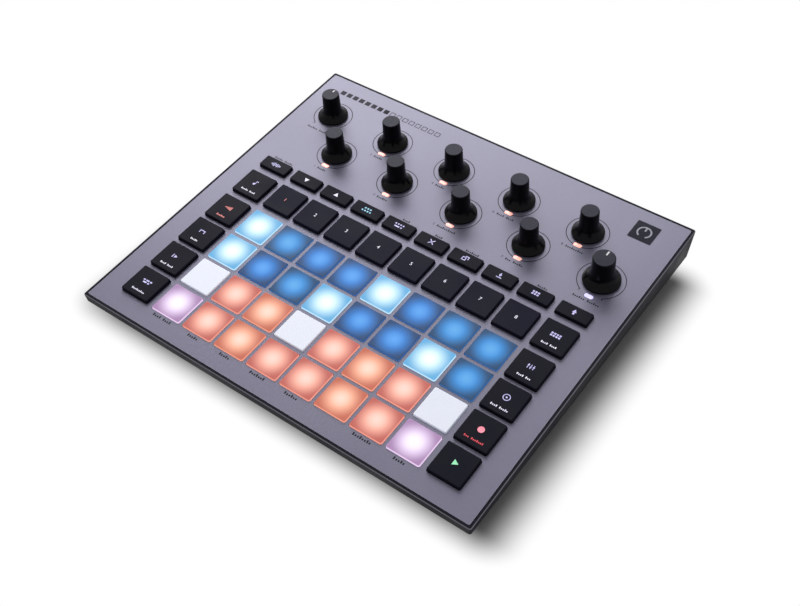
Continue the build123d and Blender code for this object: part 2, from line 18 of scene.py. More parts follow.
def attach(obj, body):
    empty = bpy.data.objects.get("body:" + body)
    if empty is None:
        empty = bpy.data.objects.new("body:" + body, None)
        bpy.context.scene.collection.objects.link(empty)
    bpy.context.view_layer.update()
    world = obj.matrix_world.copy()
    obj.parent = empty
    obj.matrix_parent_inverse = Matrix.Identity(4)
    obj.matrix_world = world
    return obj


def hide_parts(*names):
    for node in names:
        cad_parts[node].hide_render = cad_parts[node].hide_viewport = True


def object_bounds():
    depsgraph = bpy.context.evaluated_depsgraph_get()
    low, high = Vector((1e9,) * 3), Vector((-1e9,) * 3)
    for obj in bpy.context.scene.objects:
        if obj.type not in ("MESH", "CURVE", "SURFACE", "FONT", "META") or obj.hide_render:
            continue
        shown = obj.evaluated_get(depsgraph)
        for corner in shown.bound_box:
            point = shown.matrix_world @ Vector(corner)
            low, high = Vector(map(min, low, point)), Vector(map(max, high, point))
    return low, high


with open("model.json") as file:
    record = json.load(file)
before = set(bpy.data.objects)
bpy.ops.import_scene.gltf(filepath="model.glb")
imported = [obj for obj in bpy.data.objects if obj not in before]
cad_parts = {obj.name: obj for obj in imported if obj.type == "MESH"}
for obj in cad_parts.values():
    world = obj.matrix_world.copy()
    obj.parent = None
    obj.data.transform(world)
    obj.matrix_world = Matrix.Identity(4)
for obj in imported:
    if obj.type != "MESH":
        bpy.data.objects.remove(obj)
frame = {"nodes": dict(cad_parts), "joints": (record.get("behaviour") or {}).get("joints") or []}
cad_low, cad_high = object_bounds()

nodes = frame["nodes"]
print("nodes:", len(nodes), "box in metres:", tuple(cad_low), tuple(cad_high))

# %% [markdown]
# ## The panel's own frame
# The control panel leans towards the player, so nothing on it is square to the world. It could be
# handled with a turned object for each mark, but finished pieces sit unturned at the origin. So one
# matrix is worked out here: it takes a point in millimetres on the panel, x to the right, y uphill and
# z off the surface, to its place in metres. The lean comes from the direction in which a key travels,
# and the level from the panel's highest face.

# %% Find the panel's plane
mm = 0.001
key_travel = next(joint["axis"] for joint in frame["joints"] if joint["name"] == "press_play_key")
panel_normal = -Vector(key_travel).normalized()
panel_right = Vector((1, 0, 0))
panel_uphill = panel_normal.cross(panel_right)
panel_level = max(vertex.co.dot(panel_normal) for vertex in nodes["top_panel"].data.vertices)
panel_turn = Matrix((panel_right, panel_uphill, panel_normal)).transposed().to_4x4()
on_panel = Matrix.Translation((0, 0, panel_level / panel_normal.z)) @ panel_turn @ Matrix.Scale(mm, 4)
to_panel = on_panel.inverted()


def panel_points(node, above=-inf):
    """A node's vertices in the panel's frame, in millimetres, leaving out those below a height."""
    points = [to_panel @ vertex.co for vertex in nodes[node].data.vertices]
    return [point for point in points if point.z > above]


def corners(points):
    """Lowest and highest corner of some points."""
    low = Vector([min(point[axis] for point in points) for axis in range(3)])
    high = Vector([max(point[axis] for point in points) for axis in range(3)])
    return low, high


panel_low, panel_high = corners(panel_points("top_panel"))
print("panel in millimetres:", panel_low[:2], panel_high[:2])

# %% [markdown]
# ## Camera
# The camera stands in front of the right-hand corner and looks down at the pads. The lens is long
# enough to keep the case edges nearly parallel. The place and the point it looks at are written in
# millimetres, and the small roll gives the picture its slight tilt.

# %% Set the camera
camera_place = Vector((255.0, -329.9, 442.5)) * mm
camera_target = Vector((20.43, -20.04, 22.03)) * mm
camera_roll = -1.23


def add_object(name, data):
    """A new object in the scene."""
    holder = bpy.data.objects.new(name, data)
    bpy.context.scene.collection.objects.link(holder)
    return holder


def look_at(place, target):
    """The matrix of something that stands at a place and faces a target."""
    return Matrix.Translation(place) @ (target - place).to_track_quat("-Z", "Y").to_matrix().to_4x4()


camera_data = bpy.data.cameras.new("camera")
camera_data.sensor_width = 36.0
camera_data.lens = 50.64
camera_data.clip_start = 0.01
camera = add_object("camera", camera_data)
camera.matrix_world = look_at(camera_place, camera_target) @ Matrix.Rotation(radians(camera_roll), 4, "Z")
bpy.context.scene.camera = camera
print("camera distance in metres:", round((camera_target - camera_place).length, 3))

# %% [markdown]
# ## Colours
# Colours on screens are written as hex values, and shaders want linear light, so one helper turns the
# first into the second. It keeps the values in the script easy to compare with what the eye sees.

# %% Read a hex colour
toe_end, toe_slope = 0.04045, 12.92
curve_offset, curve_power = 0.055, 2.4


def to_linear(share):
    """A screen value from 0 to 1 as linear light: straight near black, a power curve above."""
    if share <= toe_end:
        return share / toe_slope
    return ((share + curve_offset) / (1 + curve_offset)) ** curve_power


def paint(code, strength=1.0):
    """A hex colour as linear red, green and blue, times a strength, with full alpha."""
    shares = [int(code[place:place + 2], 16) / 255 for place in (0, 2, 4)]
    return (*[strength * to_linear(share) for share in shares], 1.0)


print("mid grey in linear light:", round(paint("808080")[0], 3))

# %% [markdown]
# ## Shared shader groups
# Every moulded or painted surface has the same three habits: a fine grain that breaks up the highlight,
# slow patches where the colour drifts, and a change of gloss from patch to patch. A node group holds
# that once. Its inputs set the scale and the two ends of the colour and gloss, and each material places
# it with its own values.

# %% Helpers that place nodes
number, colour = "NodeSocketFloat", "NodeSocketColor"


def new_group(name, inputs, outputs):
    """An empty shader group with named sockets; gives the group, its entry and its exit."""
    group = bpy.data.node_groups.new(name, "ShaderNodeTree")
    for label, kind in inputs:
        group.interface.new_socket(label, in_out="INPUT", socket_type=kind)
    for label, kind in outputs:
        group.interface.new_socket(label, in_out="OUTPUT", socket_type=kind)
    return group, group.nodes.new("NodeGroupInput"), group.nodes.new("NodeGroupOutput")


def feed(tree, socket, value):
    """Give a socket its value: a link from another socket, or a constant."""
    if isinstance(value, bpy.types.NodeSocket):
        tree.links.new(value, socket)
    else:
        socket.default_value = value


def set_inputs(tree, node, **values):
    """Feed a node's inputs by name; underscores in names stand for spaces."""
    for label, value in values.items():
        feed(tree, node.inputs[label.replace("_", " ")], value)


def maths(tree, kind, operation, *values):
    """A node of the kind Math or VectorMath with its inputs fed in turn; gives its outputs."""
    node = tree.nodes.new(f"ShaderNode{kind}")
    node.operation = operation
    for socket, value in zip(node.inputs, values):
        feed(tree, socket, value)
    return node.outputs


def blend(tree, share, first, second):
    """A colour mix driven by a share; gives the mixed colour's socket."""
    mix = tree.nodes.new("ShaderNodeMix")
    mix.data_type = "RGBA"
    first_colour, second_colour, mixed_colour = mix.inputs[6], mix.inputs[7], mix.outputs[2]
    feed(tree, mix.inputs["Factor"], share)
    feed(tree, first_colour, first)
    feed(tree, second_colour, second)
    return mixed_colour


def spread(tree, value, low, high, start=0.0, end=1.0):
    """Map a value from low..high to start..end, eased at both ends."""
    ramp = tree.nodes.new("ShaderNodeMapRange")
    ramp.interpolation_type = "SMOOTHSTEP"
    set_inputs(tree, ramp, Value=value, From_Min=low, From_Max=high, To_Min=start, To_Max=end)
    return ramp.outputs["Result"]


def noise(tree, place, scale, detail=2.0):
    """A noise texture on given coordinates; gives its value socket."""
    texture = tree.nodes.new("ShaderNodeTexNoise")
    set_inputs(tree, texture, Vector=place, Scale=scale, Detail=detail)
    return texture.outputs["Fac"]


print("kinds of socket in a group:", number, colour)

# %% Build the surface group
patch_low, patch_high = 0.3, 0.7
surface_inputs = [("Light", colour), ("Dark", colour), ("Smooth", number), ("Rough", number)]
surface_inputs += [("Grain Scale", number), ("Patch Scale", number)]
surface_outputs = [("Color", colour), ("Roughness", number), ("Height", number)]
surface_group, entry, leave = new_group("worked_surface", surface_inputs, surface_outputs)
place = surface_group.nodes.new("ShaderNodeTexCoord").outputs["Object"]
patches = noise(surface_group, place, entry.outputs["Patch Scale"], detail=4.0)
grain = noise(surface_group, place, entry.outputs["Grain Scale"])
drift = spread(surface_group, patches, patch_low, patch_high)
surface_colour = blend(surface_group, drift, entry.outputs["Dark"], entry.outputs["Light"])
gloss_ends = entry.outputs["Smooth"], entry.outputs["Rough"]
surface_gloss = spread(surface_group, patches, patch_low, patch_high, *gloss_ends)
set_inputs(surface_group, leave, Color=surface_colour, Roughness=surface_gloss, Height=grain)
print("group:", surface_group.name, "with", len(surface_group.nodes), "nodes")

# %% [markdown]
# ## Which way a surface faces
# Two finishes depend on the way a surface faces. The case has a painted highlight along the round edge of
# its rim: a pale line that stands for the studio light caught there. A knob's flat top is painted paler
# than its polished flare, a painted highlight for the light on the top. Both could be painted by hand on
# the meshes. The object's own normal already tells the places apart, so this group measures how far the
# normal points off the panel, from -1 to 1, and each finish picks the range that it needs. A turn of a
# knob leaves that value as it is.

# %% Build the facing group
facing_group, entry, leave = new_group("facing_off_the_panel", [], [("Facing", number)])
surface_normal = facing_group.nodes.new("ShaderNodeTexCoord").outputs["Normal"]
agreement = maths(facing_group, "VectorMath", "DOT_PRODUCT", surface_normal, panel_normal)["Value"]
set_inputs(facing_group, leave, Facing=agreement)
print("group:", facing_group.name, "with", len(facing_group.nodes), "nodes")

# %% [markdown]
# ## Finishes
# A finish is a Principled shader fed by the surface group: the colours drift between two near tones, the
# gloss follows, and the grain drives a bump whose distance is the real depth of the texture. Values that
# are the same all over go straight on the shader. A painted highlight can be mixed in: a pale tone on an
# edge that is neither quite upright nor quite flat, standing for light caught on the rounded edge.

# %% A maker for finishes
plain_patches = 45.0
plain_grain = 0.5
highlight_start, highlight_full = 0.1, 0.4
highlight_fade, highlight_end = 0.9, 0.98


def new_finish(name):
    """A material with nodes; gives the material, its node tree and its Principled shader."""
    finish = bpy.data.materials.new(name)
    finish.use_nodes = True
    return finish, finish.node_tree, finish.node_tree.nodes["Principled BSDF"]


def place_group(tree, group, **values):
    """Put a shader group in a material and set its inputs."""
    node = tree.nodes.new("ShaderNodeGroup")
    node.node_tree = group
    set_inputs(tree, node, **values)
    return node


def work_surface(tree, light, dark, smooth, rough, grain_size, patch_scale):
    """Place the surface group: two tones, two glosses, a grain in millimetres, patches per metre."""
    return place_group(
        tree, surface_group, Light=paint(light), Dark=paint(dark), Smooth=smooth, Rough=rough,
        Grain_Scale=1 / (grain_size * mm), Patch_Scale=patch_scale,
    )


def bump(tree, shader, height, depth, strength):
    """Drive the shader's normal from a height; depth is in millimetres."""
    node = tree.nodes.new("ShaderNodeBump")
    set_inputs(tree, node, Height=height, Distance=depth * mm, Strength=strength)
    set_inputs(tree, shader, Normal=node.outputs["Normal"])


def apply_surface(tree, shader, surface, depth, strength):
    """Let a placed surface group drive a shader's gloss and normal; depth is in millimetres."""
    set_inputs(tree, shader, Roughness=surface.outputs["Roughness"])
    bump(tree, shader, surface.outputs["Height"], depth, strength)


def moulded(name, light, dark, smooth, rough, grain_size, depth, metallic=0.0, specular=0.5, painted_edge_highlight=None):
    """A worked surface: two tones, a range of gloss, a grain's size and depth in millimetres."""
    finish, tree, shader = new_finish(name)
    surface = work_surface(tree, light, dark, smooth, rough, grain_size, plain_patches)
    tone = surface.outputs["Color"]
    # Painted highlight: a pale tone on rounded edges that face neither quite sideways nor quite up,
    # standing for light caught on the edge.
    if painted_edge_highlight:
        pale, amount = painted_edge_highlight
        facing = place_group(tree, facing_group).outputs["Facing"]
        highlight_rise = spread(tree, facing, highlight_start, highlight_full, 0.0, amount)
        painted_highlight_share = spread(tree, facing, highlight_fade, highlight_end, highlight_rise, 0.0)
        tone = blend(tree, painted_highlight_share, tone, paint(pale))
    set_inputs(tree, shader, Base_Color=tone, Metallic=metallic, Specular_IOR_Level=specular)
    apply_surface(tree, shader, surface, depth, plain_grain)
    return finish


print("plain patches per metre:", plain_patches)

# %% Mix the plain finishes
# The case's rim gets the painted highlight, a pale line along its rounded edge.
case_finish = moulded(
    "case_plastic", "161620", "12121b", 0.45, 0.6, 0.35, 0.03, specular=0.07, painted_edge_highlight=("9c9caa", 0.95)
)
key_finish = moulded("key_black", "131320", "0f0f1b", 0.5, 0.62, 0.25, 0.015, specular=0.07)
track_finish = moulded("track_key_black", "1a1b2c", "171726", 0.5, 0.62, 0.25, 0.015, specular=0.06)
foot_finish = moulded("foot_rubber", "2a2a2b", "222223", 0.7, 0.85, 0.4, 0.04, specular=0.3)
socket_finish = moulded("socket_plastic", "1c1c1d", "161617", 0.4, 0.55, 0.3, 0.01)
mat_finish = moulded("mat_silicone", "c4c4ca", "b6b6be", 0.55, 0.7, 0.3, 0.01)
steel_finish = moulded("plated_steel", "c9c9cc", "b5b5ba", 0.22, 0.38, 0.12, 0.004, metallic=1.0)
foil_finish = moulded("battery_foil", "bdbdc2", "a6a6ac", 0.25, 0.45, 0.8, 0.03, metallic=0.8)
print("finishes so far:", [finish.name for finish in bpy.data.materials])

# %% [markdown]
# ## Knobs
# A knob is black all over, but its flat top looks grey beside the polished flare, because it faces the
# overhead light. The knob is one mesh, so its finish tells the two apart by the way the surface faces.
# Where the normal points straight off the panel, a paler tone takes over: a painted highlight that stands
# for the light on the top.

# %% Mix the knob finish
lit_top_start, lit_top_full = 0.9, 0.97
knob_finish = moulded("knob_rubber", "09090d", "060609", 0.2, 0.32, 0.3, 0.01, specular=0.08)
tree = knob_finish.node_tree
shader = tree.nodes["Principled BSDF"]
# Painted highlight: where the surface faces straight off the panel, the knob takes a lighter tone.
painted_top_light_share = spread(tree, place_group(tree, facing_group).outputs["Facing"], lit_top_start, lit_top_full)
painted_top_light_tone = work_surface(tree, "2b2b3c", "272737", 0.55, 0.7, 0.3, 90.0).outputs["Color"]
side_tone = shader.inputs["Base Color"].links[0].from_socket
set_inputs(tree, shader, Base_Color=blend(tree, painted_top_light_share, side_tone, painted_top_light_tone))
print("finish:", knob_finish.name)

# %% [markdown]
# ## Panel paint
# The panel is sprayed with a satin grey that leans to lavender. Such paint holds fine metal flakes:
# from a step away it is even, and close up it sparkles. A cell texture the size of the flakes tilts the
# brightness of each one a little, and the metallic share lets the studio light sweep over the panel as
# it does over real paint.

# %% Mix the panel paint
flake_size = 0.22
flake_bright = 0.6
sparkle_share = 0.22
panel_finish, tree, shader = new_finish("panel_paint")
surface = work_surface(tree, "706e82", "6a687d", 0.4, 0.48, 0.3, 14.0)
flakes = tree.nodes.new("ShaderNodeTexVoronoi")
panel_place = tree.nodes.new("ShaderNodeTexCoord").outputs["Object"]
set_inputs(tree, flakes, Vector=panel_place, Scale=1 / (flake_size * mm))
flake_share = spread(tree, flakes.outputs["Color"], flake_bright, 1.0, 0.0, sparkle_share)
panel_tone = blend(tree, flake_share, surface.outputs["Color"], paint("9493a4"))
set_inputs(tree, shader, Base_Color=panel_tone, Metallic=0.25)
apply_surface(tree, shader, surface, 0.006, 0.4)
print("flakes across the panel:", round((panel_high.x - panel_low.x) / flake_size))

# %% [markdown]
# ## Circuit board
# The board hardly shows, but light from the gaps finds it. Green solder mask over copper reads as two
# greens with straight tracks between them. A brick texture with long, thin bricks gives such tracks
# without any drawing.

# %% Etch the circuit board
board_finish, tree, shader = new_finish("board_green")
tracks = tree.nodes.new("ShaderNodeTexBrick")
board_place = tree.nodes.new("ShaderNodeTexCoord").outputs["Object"]
set_inputs(tree, tracks, Vector=board_place, Scale=60.0, Mortar_Size=0.03)
set_inputs(tree, tracks, Color1=paint("1f5a38"), Color2=paint("1b5033"), Mortar=paint("3f8a58"))
board_gloss = spread(tree, tracks.outputs["Fac"], 0.0, 1.0, 0.4, 0.25)
set_inputs(tree, shader, Base_Color=tracks.outputs["Color"], Roughness=board_gloss)
bump(tree, shader, tracks.outputs["Fac"], 0.035, 0.6)
print("finish:", board_finish.name)

# %% [markdown]
# ## Dress the solid parts
# The solid parts keep their shapes. Each takes its finish through its own material slot, which is all
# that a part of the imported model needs.

# %% Give the solid parts their finishes
track_keys = [name for name in nodes if name.startswith("track_key_")]
knobs = [name for name in nodes if name.endswith("_knob") or name.startswith("macro_knob_")]
keys = [name for name in nodes if name.endswith("_key")]
solid_finishes = {
    case_finish: ["lower_case", "rear_plate"],
    panel_finish: ["top_panel"],
    key_finish: keys + ["power_button"],
    track_finish: track_keys,
    knob_finish: knobs,
    board_finish: ["circuit_boards"],
    mat_finish: ["key_mat"],
    steel_finish: ["rotary_bodies", "data_sockets", "case_screws"],
    socket_finish: ["midi_sockets", "jack_sockets"],
    foil_finish: ["battery_pack"],
    foot_finish: ["rubber_feet"],
}


def dress(node, finish):
    """Give a solid part one finish."""
    slots = nodes[node].data.materials
    slots.clear()
    slots.append(finish)


for finish, names in solid_finishes.items():
    for name in names:
        dress(name, finish)
print("dressed", sum(len(names) for names in solid_finishes.values()), "of", len(nodes), "solid parts")

# %% [markdown]
# ## From a bmesh to a finished piece
# New pieces are modelled in millimetres on the panel. One helper then does the same closing steps for
# all: weld, turn the faces outwards, mark the sharp edges, move the shape to its place and let it ride
# on a moving body. Weighted normals keep the flat faces flat next to a small bevel.

# %% A maker for pieces
weld_gap = 0.001
crease_angle = 40.0


def add_piece(name, shape, finish, body, place=on_panel):
    """Close a shape, put it in its place, give it a finish and let it ride on a body."""
    bmesh.ops.remove_doubles(shape, verts=shape.verts, dist=weld_gap)
    bmesh.ops.recalc_face_normals(shape, faces=shape.faces)
    for edge in shape.edges:
        edge.smooth = edge.is_manifold and edge.calc_face_angle(pi) < radians(crease_angle)
    for face in shape.faces:
        face.smooth = True
    bmesh.ops.transform(shape, matrix=place, verts=shape.verts)
    mesh = bpy.data.meshes.new(name)
    shape.to_mesh(mesh)
    shape.free()
    mesh.materials.append(finish)
    piece = add_object(name, mesh)
    even = piece.modifiers.new("even_normals", "WEIGHTED_NORMAL")
    even.keep_sharp = True
    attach(piece, body)
    return piece


def raise_face(shape, face, height):
    """Extrude one face along z and give the face at its end; a loose face stays as a bottom."""
    loose = face.edges[0].is_boundary
    made = bmesh.ops.extrude_face_region(shape, geom=[face])["geom"]
    if not loose:
        bmesh.ops.delete(shape, geom=[face], context="FACES_ONLY")
    lifted = [part for part in made if isinstance(part, bmesh.types.BMVert)]
    bmesh.ops.translate(shape, vec=(0, 0, height), verts=lifted)
    return next(part for part in made if isinstance(part, bmesh.types.BMFace))


def round_off(shape, parts, offset, segments, affect="EDGES"):
    """Round edges, or corners of a face; gives what the bevel made."""
    return bmesh.ops.bevel(
        shape, geom=parts, offset=offset, segments=segments, profile=0.5, affect=affect, material=-1
    )


def shift(shape, place):
    """Move a whole shape."""
    bmesh.ops.translate(shape, vec=place, verts=shape.verts)


def flat_square(shape, size, place):
    """A square of one face with its middle at a place; gives its corners."""
    made = bmesh.ops.create_grid(shape, x_segments=1, y_segments=1, size=size / 2)["verts"]
    bmesh.ops.translate(shape, vec=place, verts=made)
    return made


print("pieces weld at", weld_gap, "mm and crease over", crease_angle, "degrees")

# %% [markdown]
# ## Glowing pads
# The pads are milky silicone over a light. The middle is the brightest, the colour deepens towards the
# edges, and the corners, farthest from the light, go dull. Light also leaves through the side walls and
# tints the panel beside it; that tint is not drawn. The walls and the rounded top edge get a pale tone of
# their own. It stands partly for the light leaving the walls and partly for a painted highlight, the
# studio light caught on the rounded edge. A picture of that glow could be painted, but a formula on the
# pad's own UV map is sharper: the distance from the middle sets the tone. It is a group, because all pad
# colours share it.

# %% Build the glow group
core_end = 0.72
edge_start, edge_full = 0.35, 1.22
glow_inputs = [("Core", colour), ("Middle", colour), ("Edge", colour)]
glow_group, entry, leave = new_group("pad_glow", glow_inputs, [("Color", colour)])
pad_map = glow_group.nodes.new("ShaderNodeUVMap")
pad_map.uv_map = "pad"
uv = pad_map.outputs["UV"]
centred = maths(glow_group, "VectorMath", "MULTIPLY_ADD", uv, (2, 2, 0), (-1, -1, 0))["Vector"]
reach = maths(glow_group, "VectorMath", "LENGTH", centred)["Value"]
warm = spread(glow_group, reach, 0.0, core_end)
deep = spread(glow_group, reach, edge_start, edge_full)
inner = blend(glow_group, warm, entry.outputs["Core"], entry.outputs["Middle"])
pad_light = blend(glow_group, deep, inner, entry.outputs["Edge"])
set_inputs(glow_group, leave, Color=pad_light)
print("group:", glow_group.name, "with", len(glow_group.nodes), "nodes")

# %% Mix the pad colours
# Each pad colour lists the core, middle and edge of its glow, then the pale wall tone, which is partly a
# painted highlight.
pad_tones = {
    "ice": ("ffffff", "d4f6ff", "64a9d8", "bfe6ff"),
    "azure": ("60acec", "3c90dc", "28486c", "3a649c"),
    "blue": ("5ea6f2", "3c86da", "29456e", "3a609c"),
    "salmon": ("ffdccf", "ffbaa6", "bc645c", "f29c8a"),
    "orange": ("ffdfce", "ffbc9e", "c06a56", "f29e86"),
    "lilac": ("ffffff", "f4e0ff", "a684ae", "ecd0f2"),
}
milk_strength = 0.15
wall_end, top_start = 0.5, 0.9


def lit_pad(name, core, middle, edge, wall_glow_and_highlight):
    """A pad with a light under it. The last tone is the pale tone of its side walls and rounded top edge:
    partly the light that leaves through the walls, partly a painted highlight.
    """
    finish, tree, shader = new_finish(f"pad_{name}")
    glow = place_group(tree, glow_group, Core=paint(core), Middle=paint(middle), Edge=paint(edge))
    facing = place_group(tree, facing_group).outputs["Facing"]
    # Walls and the rounded top edge take the pale wall tone: partly light leaving the walls, partly a
    # painted highlight of the edge.
    wall_and_edge_highlight_share = spread(tree, facing, wall_end, top_start, 1.0, 0.0)
    light = blend(tree, wall_and_edge_highlight_share, glow.outputs["Color"], paint(wall_glow_and_highlight))
    surface = work_surface(tree, edge, edge, 0.42, 0.55, 0.25, 60.0)
    apply_surface(tree, shader, surface, 0.012, 0.4)
    set_inputs(tree, shader, Base_Color=paint(edge, milk_strength), Specular_IOR_Level=0.15)
    set_inputs(tree, shader, Emission_Color=light, Emission_Strength=1.0)
    return finish


pad_finishes = {name: lit_pad(name, *tones) for name, tones in pad_tones.items()}
pad_finishes["white"] = moulded("pad_white", "f4f6ff", "eef0fb", 0.45, 0.6, 0.25, 0.012, specular=0.3)
tree = pad_finishes["white"].node_tree
shader = tree.nodes["Principled BSDF"]
set_inputs(tree, shader, Emission_Color=paint("dfe9ff"), Emission_Strength=0.22)
print("pad colours:", list(pad_finishes))

# %% [markdown]
# ## Model the pads
# A pad is cast in one: a flange that stops it under the panel, the square cap, and a hollow plunger
# below. The block is grown from one face with extrude and inset, the corners are rounded first as
# vertices, and the top edge gets a small round. The plunger has sharp corners, so its square is cut
# into the round flange with a fill between the two outlines. Widths and heights are measured on the
# packed pad column that the four pads stand for.

# %% Measure a pad column
pad_columns = [f"pad_column_{count}" for count in range(1, 9)]
pad_rows = 4
plunger_inset = 1.8
plunger_wall = 1.2
slack = 0.05
flange_low, flange_high = corners(panel_points("pad_column_1"))
cap_low, cap_high = corners(panel_points("pad_column_1", above=0.0))
pad_size = cap_high.x - cap_low.x
flange_size = flange_high.x - flange_low.x
pad_pitch = (flange_high.y - flange_low.y - flange_size) / (pad_rows - 1)
pad_rise = cap_high.z
pad_x, pad_y = (cap_low.x + cap_high.x) / 2, flange_high.y - flange_size / 2
hidden = [point for point in panel_points("pad_column_1") if point.z < 0]


def hidden_span(nearest, farthest):
    """Highest and lowest hidden level of the first pad, between two distances from its middle."""
    sides = [(max(abs(point.x - pad_x), abs(point.y - pad_y)), point.z) for point in hidden]
    levels = [round(level, 2) for side, level in sides if nearest < side < farthest]
    return max(levels), min(levels)


flange_top, flange_bottom = hidden_span(pad_size / 2 + slack, flange_size / 2 + slack)
well_roof, plunger_end = hidden_span(0.0, pad_size / 2 - plunger_inset - plunger_wall + slack)
print("pad:", round(pad_size, 2), "flange:", round(flange_size, 2), "pitch:", round(pad_pitch, 2), "mm")
print("flange:", flange_top, "to", flange_bottom, "plunger down to", plunger_end, "well up to", well_roof)

# %% Shape one pad
pad_corner = 0.8
pad_round = 0.45
round_steps = 5


def soft_square(shape, size, corner, bottom):
    """A rounded square of one face at a height; gives the face."""
    made = flat_square(shape, size, (0, 0, bottom))
    return round_off(shape, made, corner, round_steps, affect="VERTICES")["verts"][0].link_faces[0]


def pad_shape(middle):
    """One pad with its middle at a place on the panel."""
    flange_width = (flange_size - pad_size) / 2
    shape = bmesh.new()
    base = soft_square(shape, flange_size, pad_corner + flange_width, flange_bottom)
    top = raise_face(shape, base, flange_top - flange_bottom)
    bmesh.ops.inset_region(shape, faces=[top], thickness=flange_width, use_even_offset=True)
    top = raise_face(shape, top, pad_rise - flange_top)
    round_off(shape, top.edges[:], pad_round, round_steps)
    base = min(shape.faces, key=lambda face: face.calc_center_median().z)
    outline = base.edges[:]
    bmesh.ops.delete(shape, geom=[base], context="FACES_ONLY")
    square = flat_square(shape, pad_size - 2 * plunger_inset, (0, 0, flange_bottom))
    base = square[0].link_faces[0]
    bmesh.ops.triangle_fill(shape, use_beauty=True, edges=outline + base.edges[:])
    base = raise_face(shape, base, plunger_end - flange_bottom)
    bmesh.ops.inset_region(shape, faces=[base], thickness=plunger_wall, use_even_offset=True)
    raise_face(shape, base, well_roof - plunger_end)
    pad_map = shape.loops.layers.uv.new("pad")
    for face in shape.faces:
        for loop in face.loops:
            loop[pad_map].uv = loop.vert.co.xy / pad_size + Vector((0.5, 0.5))
    shift(shape, (*middle, 0))
    return shape


print("pad corner:", pad_corner, "mm, rise:", round(pad_rise, 2), "mm")

# %% Lay out the 32 pads
pad_colours = [
    "ice azure blue blue ice blue azure azure",
    "ice blue azure ice blue blue ice azure",
    "white salmon orange white salmon orange salmon white",
    "lilac salmon orange salmon salmon orange salmon lilac",
]
rows_y = [flange_high.y - flange_size / 2 - row * pad_pitch for row in range(pad_rows)]
columns_x = {}
for count, column in enumerate(pad_columns, 1):
    column_low, column_high = corners(panel_points(column))
    columns_x[count] = (column_low.x + column_high.x) / 2
    for row, colours in enumerate(pad_colours):
        finish = pad_finishes[colours.split()[count - 1]]
        shape = pad_shape((columns_x[count], rows_y[row]))
        pad = add_piece(f"pad_{row + 1}_{count}", shape, finish, column)
        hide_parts(column)
print("laid", pad_rows * len(pad_columns), "pads")

# %% [markdown]
# ## Marks
# Printed rings, dashes and lit legends are thin films. Each is drawn flat from a few simple marks made
# with bmesh operators, then given a thickness of a few hundredths of a millimetre, so that it is a real
# closed body that lies on the panel or on a key.

# %% Helpers that draw single marks


def bar(shape, x, y, width, height, turn=0.0):
    """A rectangle with its middle at x, y."""
    made = flat_square(shape, 1, (0, 0, 0))
    turned = Matrix.Rotation(radians(turn), 4, "Z") @ Matrix.Diagonal((width, height, 1, 1))
    bmesh.ops.transform(shape, matrix=Matrix.Translation((x, y, 0)) @ turned, verts=made)


def hollow_square(shape, x, y, size, width):
    """A square outline with its middle at x, y; the line lies inside the size."""
    face = flat_square(shape, size, (x, y, 0))[0].link_faces[0]
    bmesh.ops.inset_region(shape, faces=[face], thickness=width, use_boundary=True, use_even_offset=True)
    bmesh.ops.delete(shape, geom=[face], context="FACES_ONLY")


def disc(shape, x, y, radius, turn=0.0, sides=28):
    """A filled polygon; three sides and a turn make an arrow head."""
    made = bmesh.ops.create_circle(shape, cap_ends=True, segments=sides, radius=radius)["verts"]
    turned = Matrix.Translation((x, y, 0)) @ Matrix.Rotation(radians(turn), 4, "Z")
    bmesh.ops.transform(shape, matrix=turned, verts=made)


def arrow(shape, x, y, size, turn=0.0):
    """A triangle that points uphill, or elsewhere by a turn."""
    disc(shape, x, y, size, turn, sides=3)


def ring(shape, x, y, radius, width, start=0.0, sweep=360.0, steps=72):
    """A ring or an open arc, spun from one short edge; angles run from the uphill side."""
    ends = [shape.verts.new((0, radius + side * width / 2, 0)) for side in (-1, 1)]
    edge = shape.edges.new(ends)
    bmesh.ops.rotate(shape, cent=(0, 0, 0), matrix=Matrix.Rotation(radians(start), 3, "Z"), verts=ends)
    known = set(shape.verts) - set(ends)
    full = sweep >= 360
    bmesh.ops.spin(
        shape, geom=[*ends, edge], cent=(0, 0, 0), axis=(0, 0, 1), angle=radians(sweep), steps=steps,
        use_merge=full,
    )
    bmesh.ops.translate(shape, vec=(x, y, 0), verts=[vert for vert in shape.verts if vert not in known])


print("single marks:", [draw.__name__ for draw in (bar, hollow_square, disc, arrow, ring)])

# %% Helpers that draw rows of marks
stroke_pitch, stroke_width, low_stroke = 0.85, 0.52, 0.66


def dashes(shape, x, y, lengths, height=0.9, gap=0.7):
    """A short row of dashes, centred at x, y."""
    left = x - (sum(lengths) + gap * (len(lengths) - 1)) / 2
    for length in lengths:
        bar(shape, left + length / 2, y, length, height)
        left += length + gap


def strokes(shape, x, y, counts, size):
    """A line of short strokes in groups; every third stroke is tall."""
    pitch = stroke_pitch * size
    left = x - pitch * (sum(counts) + len(counts) - 2) / 2
    for count in counts:
        for place in range(count):
            height = size if place % 3 == 0 else low_stroke * size
            bar(shape, left + place * pitch, y - (size - height) / 2, stroke_width * size, height)
        left += pitch * (count + 1)


def columns(shape, x, y, heights, pitch=0.95, width=0.5):
    """Upright strokes of several heights, like the picture of a sound."""
    left = x - pitch * (len(heights) - 1) / 2
    for place, height in enumerate(heights):
        bar(shape, left + place * pitch, y, width, height)


print("rows of marks:", [draw.__name__ for draw in (dashes, strokes, columns)])

# %% A maker for films
film = 0.05
film_proud = 0.02


